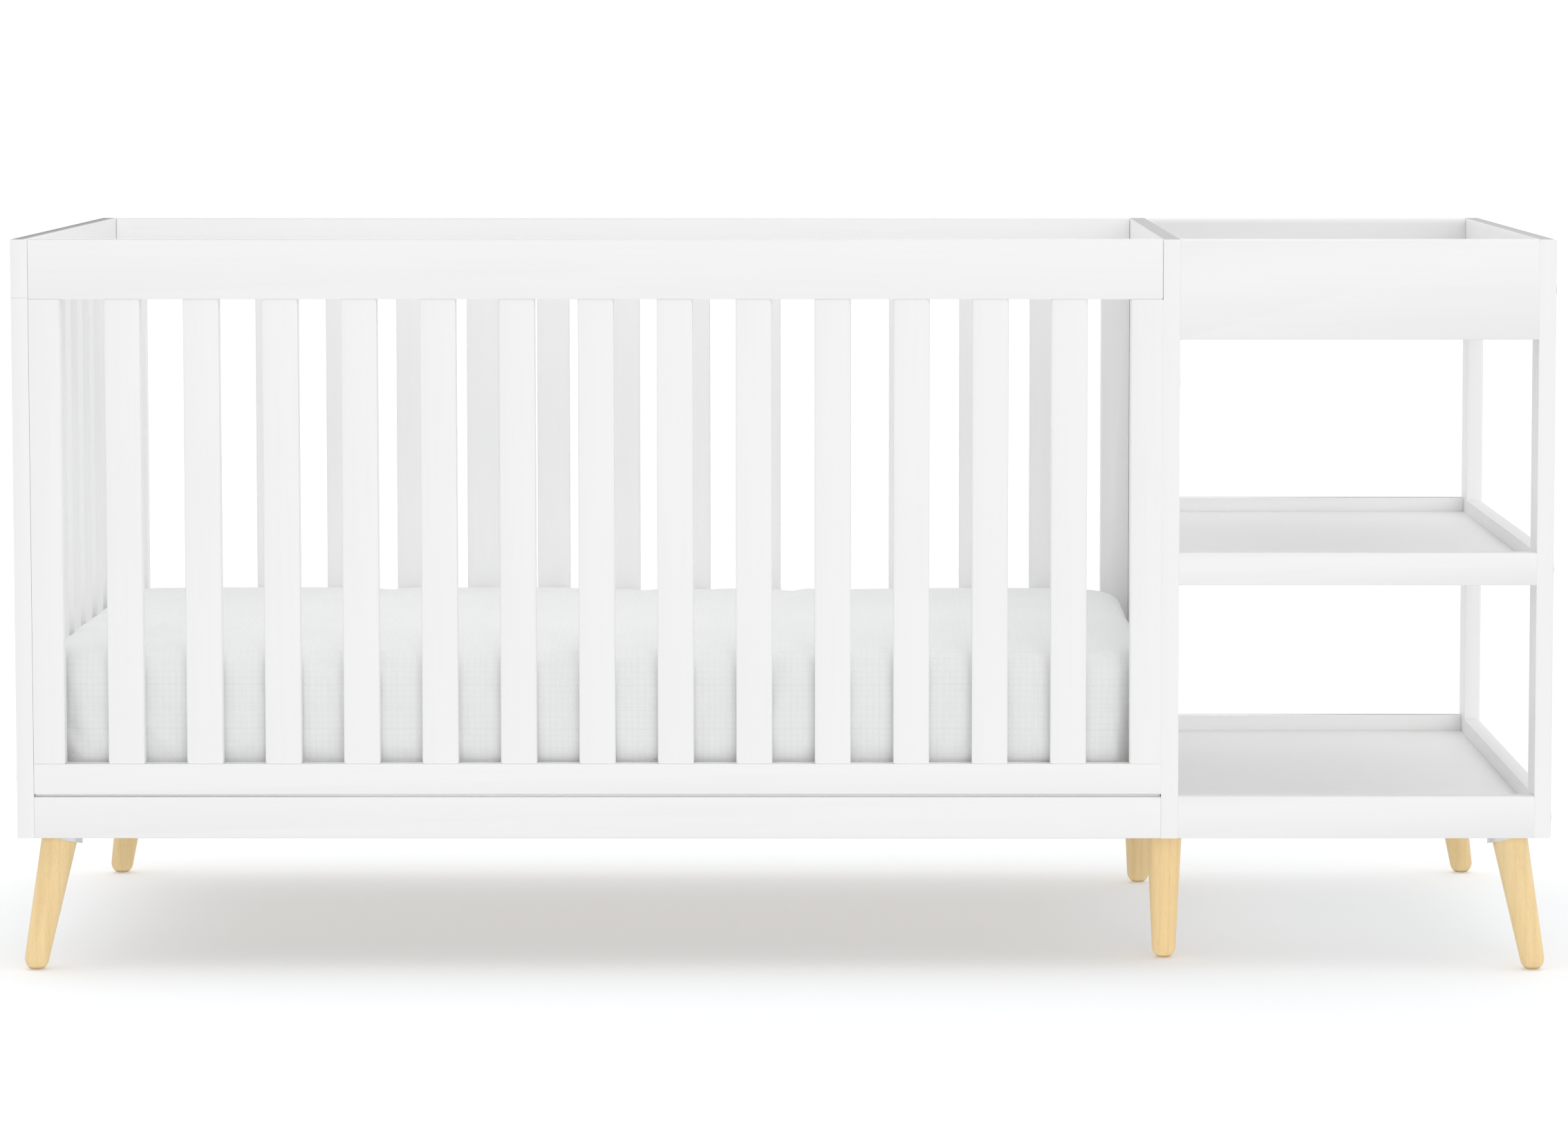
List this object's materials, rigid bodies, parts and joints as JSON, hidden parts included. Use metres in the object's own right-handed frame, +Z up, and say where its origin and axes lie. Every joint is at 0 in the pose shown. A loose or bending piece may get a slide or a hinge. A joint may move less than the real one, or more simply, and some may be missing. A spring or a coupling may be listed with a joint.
{
  "type": "crib and changer combo",
  "caption": "Slatted wooden crib with mattress, joined to a changing table with a deep tray and open shelves, on round tapered wooden legs.",
  "frame": {"origin": "on the floor, under the middle of the whole object's box", "axes": "+Z up, +X along the length towards the changing table, -Y is the front that the picture shows"},
  "size_m": [1.812, 0.751, 0.867],
  "materials": {
    "white_paint": "satin",
    "leg_wood": "satin",
    "support_wood": "matte",
    "mattress_cover": "matte",
    "sheet_cotton": "matte"
  },
  "bodies": {
    "crib_and_changer": {"front_top_rail": "white_paint", "front_bottom_rail": "white_paint", "front_left_stile": "white_paint", "front_right_stile": "white_paint", "front_slat_01": "white_paint", "front_slat_02": "white_paint", "front_slat_03": "white_paint", "front_slat_04": "white_paint", "front_slat_05": "white_paint", "front_slat_06": "white_paint", "front_slat_07": "white_paint", "front_slat_08": "white_paint", "front_slat_09": "white_paint", "front_slat_10": "white_paint", "front_slat_11": "white_paint", "front_slat_12": "white_paint", "front_slat_13": "white_paint", "back_top_rail": "white_paint", "back_bottom_rail": "white_paint", "back_left_stile": "white_paint", "back_right_stile": "white_paint", "back_slat_01": "white_paint", "back_slat_02": "white_paint", "back_slat_03": "white_paint", "back_slat_04": "white_paint", "back_slat_05": "white_paint", "back_slat_06": "white_paint", "back_slat_07": "white_paint", "back_slat_08": "white_paint", "back_slat_09": "white_paint", "back_slat_10": "white_paint", "back_slat_11": "white_paint", "back_slat_12": "white_paint", "back_slat_13": "white_paint", "left_end_panel": "white_paint", "middle_end_panel": "white_paint", "front_skirt": "white_paint", "back_skirt": "white_paint", "changer_end_frame": "white_paint", "changer_front_apron": "white_paint", "changer_back_apron": "white_paint", "middle_shelf_front_rail": "white_paint", "middle_shelf_back_rail": "white_paint", "bottom_shelf_front_rail": "white_paint", "bottom_shelf_back_rail": "white_paint", "changer_tray_floor": "white_paint", "middle_shelf": "white_paint", "bottom_shelf": "white_paint", "left_leg_bearer": "white_paint", "right_leg_bearer": "white_paint", "centre_leg_bearer": "white_paint", "front_left_leg": "leg_wood", "front_right_leg": "leg_wood", "back_left_leg": "leg_wood", "back_right_leg": "leg_wood", "front_middle_leg": "leg_wood", "back_middle_leg": "leg_wood"},
    "mattress_support": {"mattress_support": "support_wood"},
    "mattress": {"mattress_core": "mattress_cover", "fitted_sheet": "sheet_cotton"}
  },
  "joints": [
    {"name": "support_height", "type": "slide", "parent": "crib_and_changer", "child": "mattress_support", "axis": [0, 0, 1], "range_m": [0, 0.23]},
    {"name": "mattress_lift_out", "type": "slide", "parent": "mattress_support", "child": "mattress", "axis": [0, 0, 1], "range_m": [0, 0.68]}
  ]
}
